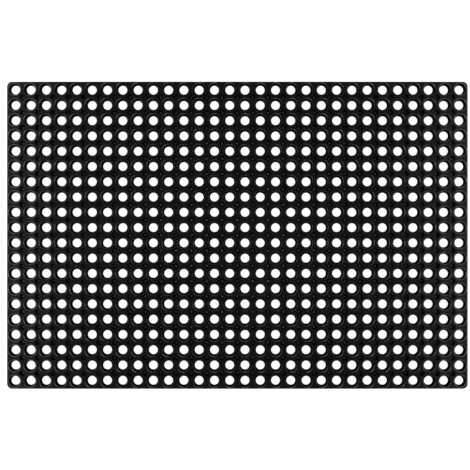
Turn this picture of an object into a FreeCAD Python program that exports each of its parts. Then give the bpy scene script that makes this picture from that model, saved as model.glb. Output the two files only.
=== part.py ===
import FreeCAD, Part
import os

# Door mat moulded in black rubber: an open lattice of round holes inside a narrow solid border.
# Millimetres, +Z up. The origin is on the floor under the middle of the mat,
# +X runs along the long side and +Y along the short side.
# The mat is one moulding, given here as three solids that meet face to face.

# ---- Driving dimensions -------------------------------------------------------------------
MAT_LENGTH = 600.0  # over the border, along X
MAT_HEIGHT = 16.0  # floor to tread
COLUMNS = 30  # holes along X
ROWS = 20  # holes along Y
HOLE_PITCH = 20.0  # between hole centres, both ways

HOLE_TREAD_RADIUS = 8.05  # where the bevelled rim meets the tread
HOLE_THROAT_RADIUS = 7.45  # at the foot of the bevel
HOLE_FOOT_RADIUS = 5.65  # at the underside
HOLE_RIM_BEVEL = 0.6  # height of the bevel

PIT_TREAD_RADIUS = 3.7
PIT_THROAT_RADIUS = 3.35
PIT_FLOOR_RADIUS = 1.6
PIT_RIM_BEVEL = 0.4
PIT_FLOOR = 4.0  # height of the pit's floor

CORNER_RADIUS = 6.5
TREAD_EDGE_ROUND = 1.2
UNDERSIDE_EDGE_ROUND = 0.6

BASE_THICKNESS = 2.0  # closes the bottoms of the pits
STUD_HEIGHT = 3.0  # lets water run out under the mat
STUD_RADIUS = 4.2
STUD_FOOT_RADIUS = 3.5
STUD_ROOT = 0.5  # how far a stud's body reaches up into the base

# ---- Sizes that follow from them ----------------------------------------------------------
MARGIN = (MAT_LENGTH - (COLUMNS - 1) * HOLE_PITCH) / 2  # from a hole centre to the outer edge
MAT_WIDTH = (ROWS - 1) * HOLE_PITCH + 2 * MARGIN
UNDERSIDE = STUD_HEIGHT
LATTICE_FOOT = UNDERSIDE + BASE_THICKNESS
OVERRUN = 1.0  # how far a cutter runs past the faces that it opens
SLACK = 0.01  # for picking edges by their height
CUBIC_CM = 1000.0  # in cubic millimetres


def grid(columns, rows):
    """The centres of a grid of this many columns and rows, around the origin."""
    centres = []
    for row in range(rows):
        for column in range(columns):
            x = (column - (columns - 1) / 2) * HOLE_PITCH
            y = (row - (rows - 1) / 2) * HOLE_PITCH
            centres.append(FreeCAD.Vector(x, y, 0))
    return centres


def copies(shape, centres):
    """One copy of the shape at each centre."""
    placed = []
    for centre in centres:
        copy = shape.copy()
        copy.translate(centre)
        placed.append(copy)
    return placed


def profile_point(radius, height):
    """A point of a profile that is turned about the Z axis."""
    return FreeCAD.Vector(radius, 0, height)


def turned(points):
    """The solid that a closed profile of straight lines sweeps about the Z axis."""
    profile = Part.makePolygon(points + [points[0]])
    return Part.Face(profile).revolve(FreeCAD.Vector(0, 0, 0), FreeCAD.Vector(0, 0, 1), 360)


def cavity(foot_height, foot_radius, throat_radius, tread_radius, rim_bevel):
    """The space inside a round cavity: a cone that widens upwards, with a bevelled rim."""
    above = MAT_HEIGHT + OVERRUN
    return turned(
        [
            profile_point(0, foot_height),
            profile_point(foot_radius, foot_height),
            profile_point(throat_radius, MAT_HEIGHT - rim_bevel),
            profile_point(tread_radius, MAT_HEIGHT),
            profile_point(tread_radius, above),
            profile_point(0, above),
        ]
    )


def hole_cavity():
    """The space inside one hole, which runs on below the underside."""
    taper = (HOLE_THROAT_RADIUS - HOLE_FOOT_RADIUS) / (MAT_HEIGHT - HOLE_RIM_BEVEL - UNDERSIDE)
    foot_height = UNDERSIDE - OVERRUN
    foot_radius = HOLE_FOOT_RADIUS - taper * OVERRUN
    return cavity(foot_height, foot_radius, HOLE_THROAT_RADIUS, HOLE_TREAD_RADIUS, HOLE_RIM_BEVEL)


def pit_cavity():
    """The space inside one blind pit."""
    return cavity(PIT_FLOOR, PIT_FLOOR_RADIUS, PIT_THROAT_RADIUS, PIT_TREAD_RADIUS, PIT_RIM_BEVEL)


def rectangle_block(length, width, low, high):
    """A block centred on the Z axis between two heights."""
    corner = FreeCAD.Vector(-length / 2, -width / 2, low)
    return Part.makeBox(length, width, high - low, corner)


def inner_block(low, high):
    """The block between two heights that reaches out to the outer hole centres."""
    return rectangle_block(MAT_LENGTH - 2 * MARGIN, MAT_WIDTH - 2 * MARGIN, low, high)


def outermost_centres():
    """The centres of the holes beside the ends and the long sides of the mat."""
    end = (COLUMNS - 1) * HOLE_PITCH / 2
    side = (ROWS - 1) * HOLE_PITCH / 2
    centres = []
    for centre in grid(COLUMNS, ROWS):
        if abs(centre.x) > end - SLACK or abs(centre.y) > side - SLACK:
            centres.append(centre)
    return centres


def outer_block():
    """The whole mat's outline as a block, with rounded corners and edges."""
    block = rectangle_block(MAT_LENGTH, MAT_WIDTH, UNDERSIDE, MAT_HEIGHT)
    full_height = MAT_HEIGHT - UNDERSIDE - SLACK
    upright_edges = [e for e in block.Edges if e.BoundBox.ZLength > full_height]
    block = block.makeFillet(CORNER_RADIUS, upright_edges)
    tread_edges = [e for e in block.Edges if e.BoundBox.ZMin > MAT_HEIGHT - SLACK]
    block = block.makeFillet(TREAD_EDGE_ROUND, tread_edges)
    underside_edges = [e for e in block.Edges if e.BoundBox.ZMax < UNDERSIDE + SLACK]
    return block.makeFillet(UNDERSIDE_EDGE_ROUND, underside_edges)


def edge_border(hole):
    """The solid rim around the mat, which holds the outer halves of the outer holes."""
    inside = inner_block(UNDERSIDE - OVERRUN, MAT_HEIGHT + OVERRUN)
    return outer_block().cut([inside] + copies(hole, outermost_centres()))


def ring_lattice(hole, pit):
    """The rings and webs of the tread, open at every hole and at every pit."""
    cavities = copies(hole, grid(COLUMNS, ROWS)) + copies(pit, grid(COLUMNS - 1, ROWS - 1))
    return inner_block(LATTICE_FOOT, MAT_HEIGHT).cut(cavities)


def stud():
    """One short tapered stud that stands on the floor."""
    root = UNDERSIDE + STUD_ROOT
    return turned(
        [
            profile_point(0, 0),
            profile_point(STUD_FOOT_RADIUS, 0),
            profile_point(STUD_RADIUS, UNDERSIDE),
            profile_point(STUD_RADIUS, root),
            profile_point(0, root),
        ]
    )


def studded_base(hole, pit):
    """The thin web that floors the pits, with the studs under it."""
    plate = inner_block(UNDERSIDE, LATTICE_FOOT)
    studs = copies(stud(), grid(COLUMNS - 1, ROWS - 1))
    cavities = copies(hole, grid(COLUMNS, ROWS)) + copies(pit, grid(COLUMNS - 1, ROWS - 1))
    return plate.fuse(studs).cut(cavities)


def write(name, shape):
    solids = shape.Solids
    assert len(solids) == 1 and solids[0].isValid(), name
    solids[0].exportStep(os.path.join("parts", name + ".step"))
    print(name, round(solids[0].Volume / CUBIC_CM, 1), "cm3")


def main():
    os.makedirs("parts", exist_ok=True)
    hole = hole_cavity()
    pit = pit_cavity()
    write("edge_border", edge_border(hole))
    write("ring_lattice", ring_lattice(hole, pit))
    write("studded_base", studded_base(hole, pit))


main()
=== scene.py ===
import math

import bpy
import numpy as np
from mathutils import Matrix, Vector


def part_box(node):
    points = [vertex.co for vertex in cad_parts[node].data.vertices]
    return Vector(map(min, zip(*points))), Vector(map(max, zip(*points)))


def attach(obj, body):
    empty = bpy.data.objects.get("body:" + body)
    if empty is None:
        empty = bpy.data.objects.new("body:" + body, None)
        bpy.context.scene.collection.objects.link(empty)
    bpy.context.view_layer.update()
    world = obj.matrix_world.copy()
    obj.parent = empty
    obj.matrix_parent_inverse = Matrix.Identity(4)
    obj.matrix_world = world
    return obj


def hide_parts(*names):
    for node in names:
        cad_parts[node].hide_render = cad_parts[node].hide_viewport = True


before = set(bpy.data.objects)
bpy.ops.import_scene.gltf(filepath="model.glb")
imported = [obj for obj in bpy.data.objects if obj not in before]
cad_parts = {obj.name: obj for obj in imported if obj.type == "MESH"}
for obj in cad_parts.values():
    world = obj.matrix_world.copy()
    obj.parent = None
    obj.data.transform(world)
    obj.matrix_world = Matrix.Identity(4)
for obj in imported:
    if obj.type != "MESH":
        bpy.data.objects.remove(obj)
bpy.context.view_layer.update()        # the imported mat: border, lattice and studded base, on one body

# Door mat moulded in black rubber, in metres, +Z up. The origin is on the floor under the
# middle of the mat, +X runs along the long side and +Y along the short side.
# The mat is built of cells, each made once and then repeated over the grid of holes.

MM = 0.001

# ---- Sizes taken from the frame, and the number of holes -----------------------------------
border_low, border_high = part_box("edge_border")
lattice_low, lattice_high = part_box("ring_lattice")
COLUMNS = 30  # holes along X
ROWS = 20  # holes along Y
TREAD = border_high.z
UNDERSIDE = border_low.z
LATTICE_FOOT = lattice_low.z  # where the lattice stands on the base
PITCH = (lattice_high.x - lattice_low.x) / (COLUMNS - 1)
HALF = PITCH / 2
MARGIN = border_high.x - lattice_high.x  # from the outer hole centres to the outer edge
OUTER_X = PITCH * (COLUMNS - 1) / 2  # the outer hole centres
OUTER_Y = PITCH * (ROWS - 1) / 2

# ---- Profiles: close to the CAD solids, with crowned and rounded rims for plain bevels -----
HOLE_TREAD_RADIUS = 8.6 * MM
HOLE_FOOT_RADIUS = 5.65 * MM
HOLE_CROWN = 6.0 * MM  # radius of the easy first part of the rim
HOLE_RIM_ROUND = 0.6 * MM
HOLE_FOOT_ROUND = 0.25 * MM
CROWN_START = math.radians(5)  # how far the crown leans where it leaves the tread
CROWN_TILT = math.radians(14)  # and where it meets the rim's round
PIT_TREAD_RADIUS = 3.8 * MM
PIT_FLOOR_RADIUS = 1.7 * MM
PIT_CROWN = 1.0 * MM
PIT_RIM_ROUND = 0.4 * MM
PIT_FLOOR = 4.0 * MM  # height of the pit's floor
PIT_DISH = 0.04 * MM  # how deep that floor is dished
CORNER_RADIUS = 6.5 * MM
TREAD_EDGE_ROUND = 1.2 * MM
UNDERSIDE_EDGE_ROUND = 0.6 * MM
STUD_RADIUS = 4.2 * MM
STUD_FOOT_RADIUS = 3.5 * MM
STUD_ROOT_ROUND = 0.4 * MM
STUD_FOOT_ROUND = 0.3 * MM

# ---- Fineness of the meshes ----------------------------------------------------------------
ARC_STEPS = 8  # along a quarter of a hole
LOOP_POINTS = 4 * (ARC_STEPS + 1)  # round a pit or a stud, as many as in a cell's outline
CROWN_STEPS = 3
ROUND_STEPS = 4  # across a rounded edge of the tread
UNDERSIDE_ROUND_STEPS = 3
RIM_STEPS = CROWN_STEPS + ROUND_STEPS
DISH_STEPS = 3
HOLE_FOOT_STEPS = 2
STUD_ROOT_STEPS = 2
STUD_FOOT_STEPS = 3
CORNER_BEND_STEPS = 2 * ARC_STEPS  # round a corner of the border
CORNER_STRAIGHT_STEPS = 2  # along the straight stretch on each side of that bend
CORNER_STEPS = CORNER_BEND_STEPS + 2 * CORNER_STRAIGHT_STEPS
BANDS = 4  # the lattice and the base are each made in this many pieces
WELD = 0.00037 * MM  # points that round to the same multiple of this are one vertex

TREAD_FACE, WALL_FACE, RIM_FACE, PIT_FACE = range(4)  # material slots of every piece
PLUS_X, PLUS_Y, MINUS_X, MINUS_Y = range(4)  # directions, in quarter turns about the Z axis
UP = (0.0, 0.0, 1.0)
DOWN = (0.0, 0.0, -1.0)
ALONG_X = (1.0, 0.0, 0.0)


# ---- Mesh building -------------------------------------------------------------------------
class Skin:
    """Quads with a true normal at every corner, gathered cell by cell and then welded."""

    def __init__(self):
        self.points, self.normals, self.slots = [], [], []

    def add(self, points, normals, slot):
        """Quads as arrays of shape (n, 4, 3)."""
        self.points.append(points)
        self.normals.append(normals)
        self.slots.append(np.full(len(points), slot))

    def extend(self, other, places, quarter_turns=0):
        """Another skin's quads, turned about the Z axis and repeated at each place."""
        turn = turn_about_z(quarter_turns)
        places = np.asarray(places, float).reshape(-1, 1, 1, 3)
        for points, normals, slots in zip(other.points, other.normals, other.slots):
            turned = points @ turn.T
            self.points.append((turned[None] + places).reshape(-1, 4, 3))
            self.normals.append(np.tile(normals @ turn.T, (len(places), 1, 1)))
            self.slots.append(np.tile(slots, len(places)))

    def mesh(self, name):
        """One welded mesh whose corners keep their true normals."""
        points, normals = wind(np.concatenate(self.points), np.concatenate(self.normals))
        slots = np.concatenate(self.slots)
        keys = np.round(points.reshape(-1, 3) / WELD).astype(np.int64)
        _, first, index = np.unique(keys, axis=0, return_index=True, return_inverse=True)
        vertices = points.reshape(-1, 3)[first]
        corners = index.reshape(-1, 4)
        kept = corners != np.roll(corners, 1, axis=1)  # drops the doubled corner of a triangle
        counts = kept.sum(1)
        whole = counts > 2  # leaves out quads that have shrunk to a line
        kept &= whole[:, None]
        made = bpy.data.meshes.new(name)
        made.vertices.add(len(vertices))
        made.vertices.foreach_set("co", vertices.ravel())
        made.loops.add(int(kept.sum()))
        made.loops.foreach_set("vertex_index", corners[kept])
        made.polygons.add(int(whole.sum()))
        starts = np.concatenate([[0], np.cumsum(counts[whole])[:-1]])
        made.polygons.foreach_set("loop_start", starts)
        made.polygons.foreach_set("loop_total", counts[whole])
        made.polygons.foreach_set("material_index", slots[whole].astype(np.int32))
        made.update(calc_edges=True)
        made.polygons.foreach_set("use_smooth", np.ones(len(made.polygons), bool))
        made.normals_split_custom_set(normals[kept].tolist())
        return made


def turn_about_z(quarter_turns):
    """The matrix of this many quarter turns, anticlockwise from above."""
    c, s = [(1, 0), (0, 1), (-1, 0), (0, -1)][quarter_turns % 4]
    return np.array([[c, -s, 0], [s, c, 0], [0, 0, 1]], float)


def wind(points, normals):
    """Turns each quad's corners round where they run against its normals."""
    across = points[:, 2] - points[:, 0]
    along = points[:, 3] - points[:, 1]
    against = (np.cross(across, along) * normals.sum(1)).sum(1) < 0
    points, normals = points.copy(), normals.copy()
    points[against] = points[against][:, ::-1]
    normals[against] = normals[against][:, ::-1]
    return points, normals


def strip(first, second, first_normals, second_normals, closed=False):
    """The quads between two rows of as many points."""
    rows = [np.asarray(row, float) for row in (first, second, first_normals, second_normals)]
    if closed:
        rows = [np.concatenate([row, row[:1]]) for row in rows]
    a, b, na, nb = rows
    points = np.stack([a[:-1], a[1:], b[1:], b[:-1]], axis=1)
    normals = np.stack([na[:-1], na[1:], nb[1:], nb[:-1]], axis=1)
    return points, normals


def flat(row, direction):
    """The same normal at every point of a row."""
    return np.tile(np.array(direction, float), (len(row), 1))


def flat_strip(first, second, direction, closed=False):
    """The quads between two rows that lie in one plane, which faces this way."""
    normals = flat(first, direction)
    return strip(first, second, normals, normals, closed)


# ---- Profiles: levels of (radius, height, radial part of the normal, upward part) ----------
def rounded_rim(tread_radius, foot_radius, foot_height, crown, rim_round):
    """From the tread over an easy crown and a tighter round on to a straight wall to the foot."""
    radius = tread_radius + crown * math.sin(CROWN_START)  # of the crown's centre
    height = TREAD - crown * math.cos(CROWN_START)
    levels = crown_arc(radius, height, crown, CROWN_START, CROWN_TILT, CROWN_STEPS)
    radius -= (crown - rim_round) * math.sin(CROWN_TILT)  # of the round's centre
    height += (crown - rim_round) * math.cos(CROWN_TILT)
    rise, run = height - foot_height, radius - foot_radius
    wall_tilt = math.atan2(rise, run) + math.asin(rim_round / math.hypot(rise, run))
    levels += crown_arc(radius, height, rim_round, CROWN_TILT, wall_tilt, ROUND_STEPS)[1:]
    levels.append((foot_radius, foot_height) + levels[-1][2:])
    return levels


def crown_arc(centre_radius, centre_height, size, start, end, steps):
    """Round an arc whose normal tilts from the vertical towards the axis."""
    levels = []
    for step in range(steps + 1):
        tilt = start + (end - start) * step / steps
        inward, upward = -math.sin(tilt), math.cos(tilt)
        levels.append(
            (centre_radius + size * inward, centre_height + size * upward, inward, upward)
        )
    return levels


def quarter_round(centre_radius, centre_height, size, start, steps, turn=-1, facing=1):
    """A quarter of a round in the radius and height plane, clockwise unless the turn is 1.

    Its normals point away from its centre, or towards it where facing is -1."""
    levels = []
    for step in range(steps + 1):
        angle = start + turn * math.pi / 2 * step / steps
        c, s = math.cos(angle), math.sin(angle)
        levels.append((centre_radius + size * c, centre_height + size * s, facing * c, facing * s))
    return levels


def split_wall(levels, height):
    """The levels above and below a height on the straight wall, both with a level at it."""
    upper, lower = levels[-2], levels[-1]
    share = (upper[1] - height) / (upper[1] - lower[1])
    radius = upper[0] + (lower[0] - upper[0]) * share
    level = (radius, height) + upper[2:]
    return levels[:-1] + [level], [level, lower]


def hole_levels():
    """A hole's wall in the lattice, and below it the wall in the base with its rounded foot."""
    radius, height = HOLE_FOOT_RADIUS, UNDERSIDE + HOLE_FOOT_ROUND
    wall = rounded_rim(HOLE_TREAD_RADIUS, radius, height, HOLE_CROWN, HOLE_RIM_ROUND)
    above, below = split_wall(wall, LATTICE_FOOT)
    centre_radius = radius + HOLE_FOOT_ROUND
    foot = quarter_round(
        centre_radius, height, HOLE_FOOT_ROUND, math.pi, HOLE_FOOT_STEPS, turn=1
    )
    return above, below[:1] + foot


def pit_levels():
    """A pit's wall in the lattice, its wall in the base, and its dished floor."""
    foot_height = PIT_FLOOR + PIT_DISH
    wall = rounded_rim(PIT_TREAD_RADIUS, PIT_FLOOR_RADIUS, foot_height, PIT_CROWN, PIT_RIM_ROUND)
    above, below = split_wall(wall, LATTICE_FOOT)
    sphere = (PIT_FLOOR_RADIUS**2 + PIT_DISH**2) / (2 * PIT_DISH)  # radius of the dish's sphere
    widest = math.asin(PIT_FLOOR_RADIUS / sphere)
    dish = []
    for step in range(DISH_STEPS + 1):
        angle = widest * (1 - step / DISH_STEPS)
        c, s = math.cos(angle), math.sin(angle)
        dish.append((sphere * s, PIT_FLOOR + sphere * (1 - c), -s, c))
    return above, below, dish


def stud_levels():
    """From the root under the base down to the foot and in to the axis."""
    root_radius, root_height = STUD_RADIUS + STUD_ROOT_ROUND, UNDERSIDE - STUD_ROOT_ROUND
    foot_radius = STUD_FOOT_RADIUS - STUD_FOOT_ROUND
    root = quarter_round(
        root_radius, root_height, STUD_ROOT_ROUND, math.pi / 2, STUD_ROOT_STEPS, turn=1, facing=-1
    )
    foot = quarter_round(foot_radius, STUD_FOOT_ROUND, STUD_FOOT_ROUND, 0.0, STUD_FOOT_STEPS)
    return root + foot + [(0.0, 0.0, 0.0, -1.0)]


def edge_levels():
    """The outer edge's section as (distance out from the outer hole centres, height, out, up)."""
    top, foot = TREAD_EDGE_ROUND, UNDERSIDE_EDGE_ROUND
    levels = quarter_round(MARGIN - top, TREAD - top, top, math.pi / 2, ROUND_STEPS)
    return levels + quarter_round(
        MARGIN - foot, UNDERSIDE + foot, foot, 0.0, UNDERSIDE_ROUND_STEPS
    )


HOLE_ABOVE, HOLE_BELOW = hole_levels()
HOLE_WHOLE = HOLE_ABOVE + HOLE_BELOW[1:]
PIT_ABOVE, PIT_BELOW, PIT_FLOOR_LEVELS = pit_levels()
STUD = stud_levels()
EDGE = edge_levels()
# The border's upper round shines as the rims of the holes do, and the rest is like the tread.
EDGE_FACES = [RIM_FACE] * ROUND_STEPS + [TREAD_FACE] * (len(EDGE) - 1 - ROUND_STEPS)


# ---- Rows of points ------------------------------------------------------------------------
def round_row(level, centre, angles):
    """The points of one level at these angles round an upright axis, and their normals."""
    radius, height, radial, upward = level
    c, s, one = np.cos(angles), np.sin(angles), np.ones(len(angles))
    x, y = centre
    points = np.stack([x + radius * c, y + radius * s, height * one], axis=1)
    return points, np.stack([radial * c, radial * s, upward * one], axis=1)


def loop_at(level):
    """A closed loop round the Z axis at one level, and its normals."""
    step = 2 * math.pi / LOOP_POINTS
    return round_row(level, (0.0, 0.0), step / 2 + step * np.arange(LOOP_POINTS))


def arc_at(level, centre, start, steps=ARC_STEPS):
    """A quarter of a hole's wall at one level, clockwise from a direction, and its normals."""
    return round_row(level, centre, (start - np.arange(steps + 1) / steps) * math.pi / 2)


def cell_quarters():
    """The four holes round a lattice cell, each with the direction in which its quarter starts."""
    centres = [(HALF, HALF), (-HALF, HALF), (-HALF, -HALF), (HALF, -HALF)]
    return [(centre, MINUS_Y + turn) for turn, centre in enumerate(centres)]


def around_cell(level):
    """The outline of a lattice cell at one level: a quarter of each of its four holes."""
    return np.concatenate([arc_at(level, centre, start)[0] for centre, start in cell_quarters()])


def border_row(level):
    """Two quarters of neighbouring holes on the -Y side at one level, from -X to +X."""
    left = arc_at(level, (-HALF, 0.0), PLUS_X)[0][::-1]
    right = arc_at(level, (HALF, 0.0), MINUS_Y)[0][::-1]
    return np.concatenate([left, right])


def corner_inside(level):
    """The quarter of the corner hole at one level, from the -X side to the -Y side."""
    return arc_at(level, (0.0, 0.0), MINUS_Y, CORNER_STEPS)[0][::-1]


def corner_outside(level):
    """The outer edge at one level of its section, from the -X side to the -Y side, with normals."""
    out, height, outward, upward = level
    centre = CORNER_RADIUS - MARGIN  # of the corner's bend, both ways from the hole's centre
    radius = CORNER_RADIUS - (MARGIN - out)
    points, normals = [], []
    for step in range(CORNER_STRAIGHT_STEPS):
        points.append((-out, centre * step / CORNER_STRAIGHT_STEPS, height))
        normals.append((-outward, 0.0, upward))
    for step in range(CORNER_BEND_STEPS + 1):
        angle = math.pi + math.pi / 2 * step / CORNER_BEND_STEPS
        c, s = math.cos(angle), math.sin(angle)
        points.append((centre + radius * c, centre + radius * s, height))
        normals.append((outward * c, outward * s, upward))
    for step in reversed(range(CORNER_STRAIGHT_STEPS)):
        points.append((centre * step / CORNER_STRAIGHT_STEPS, -out, height))
        normals.append((0.0, -outward, upward))
    return np.array(points), np.array(normals)


# ---- Surfaces ------------------------------------------------------------------------------
def revolve(skin, levels, slot):
    """The surface that the levels sweep about the Z axis."""
    for upper, lower in zip(levels, levels[1:]):
        (a, na), (b, nb) = loop_at(upper), loop_at(lower)
        skin.add(*strip(a, b, na, nb, closed=True), slot)


def quarter(skin, levels, centre, start, slot, steps=ARC_STEPS):
    """A quarter of a hole's wall, clockwise from a direction."""
    for upper, lower in zip(levels, levels[1:]):
        (a, na), (b, nb) = arc_at(upper, centre, start, steps), arc_at(lower, centre, start, steps)
        skin.add(*strip(a, b, na, nb), slot)


def cell_walls(skin, levels, slot):
    """The quarters of the four hole walls round a lattice cell."""
    for centre, start in cell_quarters():
        quarter(skin, levels, centre, start, slot)


def cell_land(skin, inner_level, hole_level, direction, slot):
    """The flat face between a loop round the cell's axis and the cell's outline."""
    inner, outer = loop_at(inner_level)[0], around_cell(hole_level)
    skin.add(*flat_strip(inner, outer, direction, closed=True), slot)


# ---- Cells ---------------------------------------------------------------------------------
def lattice_cell():
    """One pit with the webs round it, from the tread down to the base."""
    skin = Skin()
    cell_land(skin, PIT_ABOVE[0], HOLE_ABOVE[0], UP, TREAD_FACE)
    revolve(skin, PIT_ABOVE[: RIM_STEPS + 1], TREAD_FACE)
    revolve(skin, PIT_ABOVE[RIM_STEPS:], PIT_FACE)
    cell_walls(skin, HOLE_ABOVE[: RIM_STEPS + 1], RIM_FACE)
    cell_walls(skin, HOLE_ABOVE[RIM_STEPS:], WALL_FACE)
    cell_land(skin, PIT_ABOVE[-1], HOLE_ABOVE[-1], DOWN, WALL_FACE)
    return skin


def base_cell():
    """The floor of one pit, the web round it and the stud under it."""
    skin = Skin()
    cell_land(skin, PIT_BELOW[0], HOLE_BELOW[0], UP, WALL_FACE)
    revolve(skin, PIT_BELOW, PIT_FACE)
    revolve(skin, PIT_FLOOR_LEVELS, PIT_FACE)
    cell_walls(skin, HOLE_BELOW, WALL_FACE)
    cell_land(skin, STUD[0], HOLE_BELOW[-1], DOWN, WALL_FACE)
    revolve(skin, STUD, TREAD_FACE)
    return skin


def web_end(levels):
    """The cut end of the web on the +X side of a cell, between two holes."""
    skin = Skin()
    rows = []
    for radius, height, *_ in levels:
        half_width = HALF - radius
        rows.append(np.array([[HALF, -half_width, height], [HALF, half_width, height]]))
    for upper, lower in zip(rows, rows[1:]):
        skin.add(*flat_strip(upper, lower, ALONG_X), WALL_FACE)
    return skin


def edge_cell():
    """One pitch of the border on the -Y side, with the outer quarters of two holes."""
    skin = Skin()
    top, bottom = border_row(HOLE_WHOLE[0]), border_row(HOLE_WHOLE[-1])
    for inner, section, direction in ((top, EDGE[0], UP), (bottom, EDGE[-1], DOWN)):
        outer = inner.copy()
        outer[:, 1] = -section[0]
        skin.add(*flat_strip(inner, outer, direction), TREAD_FACE)
    for centre, start in (((-HALF, 0.0), PLUS_X), ((HALF, 0.0), MINUS_Y)):
        quarter(skin, HOLE_WHOLE[: RIM_STEPS + 1], centre, start, RIM_FACE)
        quarter(skin, HOLE_WHOLE[RIM_STEPS:], centre, start, WALL_FACE)
    rows = []
    for number, (out, height, outward, upward) in enumerate(EDGE):
        row = top + (bottom - top) * number / (len(EDGE) - 1)
        row[:, 1] = -out
        row[:, 2] = height
        rows.append((row, flat(row, (0.0, -outward, upward))))
    for (a, na), (b, nb), slot in zip(rows, rows[1:], EDGE_FACES):
        skin.add(*strip(a, b, na, nb), slot)
    return skin


def corner_cell():
    """The rounded corner of the border on the -X, -Y side, with a quarter of a hole."""
    skin = Skin()
    ends = ((HOLE_WHOLE[0], EDGE[0], UP), (HOLE_WHOLE[-1], EDGE[-1], DOWN))
    for level, section, direction in ends:
        inner, outer = corner_inside(level), corner_outside(section)[0]
        skin.add(*flat_strip(inner, outer, direction), TREAD_FACE)
    quarter(skin, HOLE_WHOLE[: RIM_STEPS + 1], (0.0, 0.0), MINUS_Y, RIM_FACE, CORNER_STEPS)
    quarter(skin, HOLE_WHOLE[RIM_STEPS:], (0.0, 0.0), MINUS_Y, WALL_FACE, CORNER_STEPS)
    for upper, lower, slot in zip(EDGE, EDGE[1:], EDGE_FACES):
        (a, na), (b, nb) = corner_outside(upper), corner_outside(lower)
        skin.add(*strip(a, b, na, nb), slot)
    return skin


# ---- Pieces --------------------------------------------------------------------------------
def line_of(count):
    """The places of this many cells in a row, about zero."""
    return [(number - (count - 1) / 2) * PITCH for number in range(count)]


CELL_X = line_of(COLUMNS - 1)
CELL_Y = line_of(ROWS - 1)


def band(name, cell, levels, rows):
    """Some rows of cells, with the ends of the webs that this band cuts."""
    skin = Skin()
    skin.extend(cell, [(x, y, 0) for y in rows for x in CELL_X])
    end = web_end(levels)
    skin.extend(end, [(CELL_X[-1], y, 0) for y in rows], PLUS_X)
    skin.extend(end, [(x, rows[-1], 0) for x in CELL_X], PLUS_Y)
    skin.extend(end, [(CELL_X[0], y, 0) for y in rows], MINUS_X)
    skin.extend(end, [(x, rows[0], 0) for x in CELL_X], MINUS_Y)
    return skin.mesh(name)


def border(name):
    """The whole border: four sides and four corners, anticlockwise from the -Y side."""
    skin = Skin()
    side, corner, end = edge_cell(), corner_cell(), web_end(HOLE_WHOLE)
    sides = [
        [(x, -OUTER_Y, 0) for x in CELL_X],
        [(OUTER_X, y, 0) for y in CELL_Y],
        [(x, OUTER_Y, 0) for x in CELL_X],
        [(-OUTER_X, y, 0) for y in CELL_Y],
    ]
    for turns, places in enumerate(sides):
        skin.extend(side, places, turns)
        inward = turn_about_z(turns) @ (0, HALF, 0)  # web_end draws half a pitch out from its place
        skin.extend(end, np.array(places) - inward, turns + 1)
    corners = ((-OUTER_X, -OUTER_Y), (OUTER_X, -OUTER_Y), (OUTER_X, OUTER_Y), (-OUTER_X, OUTER_Y))
    for turns, (x, y) in enumerate(corners):
        skin.extend(corner, [(x, y, 0)], turns)
    return skin.mesh(name)


def place(mesh, node, materials):
    """Puts a piece on the mat's one body, in place of a CAD node."""
    piece = bpy.data.objects.new(mesh.name, mesh)
    bpy.context.scene.collection.objects.link(piece)
    for material in materials:
        mesh.materials.append(material)
    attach(piece, "root")
    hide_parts(node)


# ---- Materials -----------------------------------------------------------------------------
MOTTLE_SIZE = 35 * MM  # cloudy lighter patches
SPECK_SIZE = 1.8 * MM  # dark specks in them
SMEAR_SIZE = 9 * MM  # patches of duller and shinier rubber
SMEAR_SWING = 0.08  # how far the roughness changes each way
WAVE_SIZE = 4.5 * MM  # the faint unevenness of a moulded face
WAVE_DEPTH = 0.12 * MM
GRAIN_SIZE = 0.45 * MM  # the grain of the mould
NOISE_LOW, NOISE_HIGH = 0.3, 0.7  # most of a noise's values lie between these
MIX_FIRST, MIX_SECOND, MIX_RESULT = 6, 7, 2  # a mix node's sockets for colours
FLOOR_GLOW = 0.98
WHITE = (1.0, 1.0, 1.0, 1.0)


class Nodes:
    """A material's node tree with short ways to add and join nodes."""

    def __init__(self, name):
        self.material = bpy.data.materials.new(name)
        self.material.use_nodes = True
        self.tree = self.material.node_tree
        self.shader = self.tree.nodes["Principled BSDF"]
        self.coordinates = self.tree.nodes.new("ShaderNodeTexCoord").outputs["Object"]

    def join(self, output, target):
        self.tree.links.new(output, target)

    def noise(self, size, detail, roughness=0.5):
        """Noise from 0 to 1 whose features are about this long, in metres."""
        node = self.tree.nodes.new("ShaderNodeTexNoise")
        node.inputs["Scale"].default_value = 1 / size
        node.inputs["Detail"].default_value = detail
        node.inputs["Roughness"].default_value = roughness
        self.join(self.coordinates, node.inputs["Vector"])
        return node.outputs["Fac"]

    def scaled(self, noise, low, high):
        """The noise, stretched so that it usually runs from low to high."""
        node = self.tree.nodes.new("ShaderNodeMapRange")
        node.inputs["From Min"].default_value = NOISE_LOW
        node.inputs["From Max"].default_value = NOISE_HIGH
        node.inputs["To Min"].default_value = low
        node.inputs["To Max"].default_value = high
        self.join(noise, node.inputs["Value"])
        return node.outputs["Result"]

    def mixed(self, share, first, second):
        """A colour between two, each given as a colour or as a node's output."""
        node = self.tree.nodes.new("ShaderNodeMix")
        node.data_type = "RGBA"
        for number, value in ((MIX_FIRST, first), (MIX_SECOND, second)):
            if isinstance(value, tuple):
                node.inputs[number].default_value = (*value, 1.0)
            else:
                self.join(value, node.inputs[number])
        self.join(share, node.inputs["Factor"])
        return node.outputs[MIX_RESULT]

    def bump(self, height, depth, strength, below=None):
        """A bump of this depth in metres on top of another one."""
        node = self.tree.nodes.new("ShaderNodeBump")
        node.inputs["Distance"].default_value = depth
        node.inputs["Strength"].default_value = strength
        self.join(height, node.inputs["Height"])
        if below:
            self.join(below, node.inputs["Normal"])
        return node.outputs["Normal"]


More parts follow.
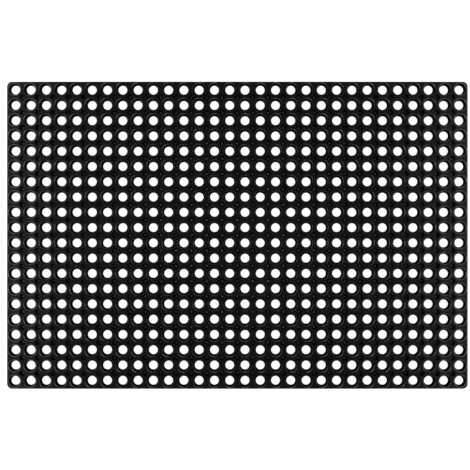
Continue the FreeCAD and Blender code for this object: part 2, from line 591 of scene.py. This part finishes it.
def rubber(name, dark, light, roughness, grain_depth, shine):
    """Moulded rubber: near black, mottled, with the fine grain of the mould."""
    nodes = Nodes(name)
    mottle = nodes.scaled(nodes.noise(MOTTLE_SIZE, detail=4), 0, 1)
    speck = nodes.scaled(nodes.noise(SPECK_SIZE, detail=5, roughness=0.6), 0, 1)
    colour = nodes.mixed(speck, dark, nodes.mixed(mottle, dark, light))
    nodes.join(colour, nodes.shader.inputs["Base Color"])
    smear = nodes.noise(SMEAR_SIZE, detail=3)
    dullness = nodes.scaled(smear, roughness - SMEAR_SWING, roughness + SMEAR_SWING)
    nodes.join(dullness, nodes.shader.inputs["Roughness"])
    waves = nodes.bump(nodes.noise(WAVE_SIZE, detail=2), WAVE_DEPTH, strength=0.5)
    grain = nodes.noise(GRAIN_SIZE, detail=3, roughness=0.6)
    surface = nodes.bump(grain, grain_depth, strength=0.6, below=waves)
    nodes.join(surface, nodes.shader.inputs["Normal"])
    nodes.shader.inputs["Specular IOR Level"].default_value = shine
    return nodes.material


def rubber_finishes():
    """The mat's finishes, in the order of the material slots."""
    tread = rubber(
        "tread_rubber",
        dark=(0.0050, 0.0049, 0.0037),
        light=(0.0170, 0.0165, 0.0133),
        roughness=0.66,
        grain_depth=0.11 * MM,
        shine=0.19,
    )
    # The wall finish is painted darker than the tread: painted shade on the hole walls, the hidden
    # faces and the underside between the studs.
    wall = rubber(
        "wall_rubber",
        dark=(0.003, 0.003, 0.0025),
        light=(0.005, 0.0048, 0.004),
        roughness=0.6,
        grain_depth=0.03 * MM,
        shine=0.1,
    )
    smooth_dark, smooth_light = (0.004, 0.004, 0.003), (0.006, 0.0058, 0.0045)
    rim = rubber("rim_rubber", smooth_dark, smooth_light, 0.22, grain_depth=0.01 * MM, shine=0.8)
    pit = rubber("pit_rubber", smooth_dark, smooth_light, 0.34, grain_depth=0.01 * MM, shine=0.5)
    return [tread, wall, rim, pit]


def floor_material():
    """A plain white floor, lit evenly enough to stay white inside the holes."""
    nodes = Nodes("white_floor")
    nodes.shader.inputs["Base Color"].default_value = (0.9, 0.9, 0.9, 1.0)
    nodes.shader.inputs["Roughness"].default_value = 0.9
    nodes.shader.inputs["Specular IOR Level"].default_value = 0.0
    nodes.shader.inputs["Emission Color"].default_value = WHITE
    nodes.shader.inputs["Emission Strength"].default_value = FLOOR_GLOW
    return nodes.material


# ---- Stage, light and camera ---------------------------------------------------------------
FLOOR_SIZE = 60.0
WORLD_STRENGTH = 0.04
MIDDLE = (0.0, 0.0, 0.0)
STRIP_X = 0.34  # the strips shine straight down on the ends of the mat
STRIP_HEIGHT = 0.15
STRIP_SIZE = (0.12, 0.8)
END_BOX_X = 0.9  # the softboxes beyond the ends
END_BOX_HEIGHT = 0.6
END_BOX_SIZE = (1.0, 0.4)
SIDE_BOX_Y = 1.4  # and those beyond the long sides
SIDE_BOX_HEIGHT = 0.4
SIDE_BOX_SIZE = (2.2, 0.5)
SIDE_BOX_POWER = 4.0
ON_AXIS_HEIGHT = 1.95  # just above the camera
ON_AXIS_SIZE = (0.35, 0.35)
ON_AXIS_POWER = 1.8
CAMERA_HEIGHT = 1.803  # above the floor
CAMERA_ASIDE = (-3.1 * MM, 0.3 * MM)  # off the middle of the mat, as in the photograph
CAMERA_LENS = 105.2  # millimetres, as the sensor
CAMERA_SENSOR = 36.0


def area_light(name, position, size, power, aim=MIDDLE):
    """A rectangular soft light that faces its aim.

    A light that shines down has its first size along X and its second along Y. One that slants
    has its first size level and its second up the slant."""
    data = bpy.data.lights.new(name, "AREA")
    data.shape = "RECTANGLE"
    data.size, data.size_y = size
    data.energy = power
    light = bpy.data.objects.new(name, data)
    light.location = position
    light.visible_camera = False
    light.rotation_mode = "QUATERNION"
    light.rotation_quaternion = (Vector(aim) - Vector(position)).to_track_quat("-Z", "Y")
    bpy.context.scene.collection.objects.link(light)


def white_floor():
    bpy.ops.mesh.primitive_plane_add(size=FLOOR_SIZE)
    floor = bpy.context.object
    floor.name = "floor"
    floor.data.materials.append(floor_material())
    floor.visible_glossy = False


def studio_lights():
    """Strips over both ends of the mat, four low softboxes round it and a small light above."""
    for name, x, power in (("left_strip", -STRIP_X, 0.30), ("right_strip", STRIP_X, 0.26)):
        area_light(name, (x, 0.0, STRIP_HEIGHT), STRIP_SIZE, power, aim=(x, 0.0, 0.0))
    for name, x, power in (("left_softbox", -END_BOX_X, 2.0), ("right_softbox", END_BOX_X, 2.3)):
        area_light(name, (x, 0.0, END_BOX_HEIGHT), END_BOX_SIZE, power)
    for name, y in (("front_softbox", -SIDE_BOX_Y), ("back_softbox", SIDE_BOX_Y)):
        area_light(name, (0.0, y, SIDE_BOX_HEIGHT), SIDE_BOX_SIZE, SIDE_BOX_POWER)
    area_light("on_axis", (0.0, 0.0, ON_AXIS_HEIGHT), ON_AXIS_SIZE, ON_AXIS_POWER)


def dark_studio():
    """Dim surroundings, so that the rubber mirrors little more than the lights."""
    world = bpy.data.worlds.new("studio")
    world.use_nodes = True
    world.node_tree.nodes["Background"].inputs["Color"].default_value = WHITE
    world.node_tree.nodes["Background"].inputs["Strength"].default_value = WORLD_STRENGTH
    bpy.context.scene.world = world
    bpy.context.scene.view_settings.view_transform = "Standard"


def overhead_camera():
    data = bpy.data.cameras.new("camera")
    data.lens = CAMERA_LENS
    data.sensor_width = CAMERA_SENSOR
    camera = bpy.data.objects.new("camera", data)
    camera.location = (*CAMERA_ASIDE, CAMERA_HEIGHT)
    bpy.context.scene.collection.objects.link(camera)
    bpy.context.scene.camera = camera


# ---- The model -----------------------------------------------------------------------------
overhead_camera()
white_floor()
studio_lights()
dark_studio()

finishes = rubber_finishes()
place(border("border_rim"), "edge_border", finishes)
lattice, base = lattice_cell(), base_cell()
for number, rows in enumerate(np.array_split(CELL_Y, BANDS), 1):
    place(band(f"ring_band_{number}", lattice, HOLE_ABOVE, rows), "ring_lattice", finishes)
    place(band(f"studded_sole_{number}", base, HOLE_BELOW, rows), "studded_base", finishes)
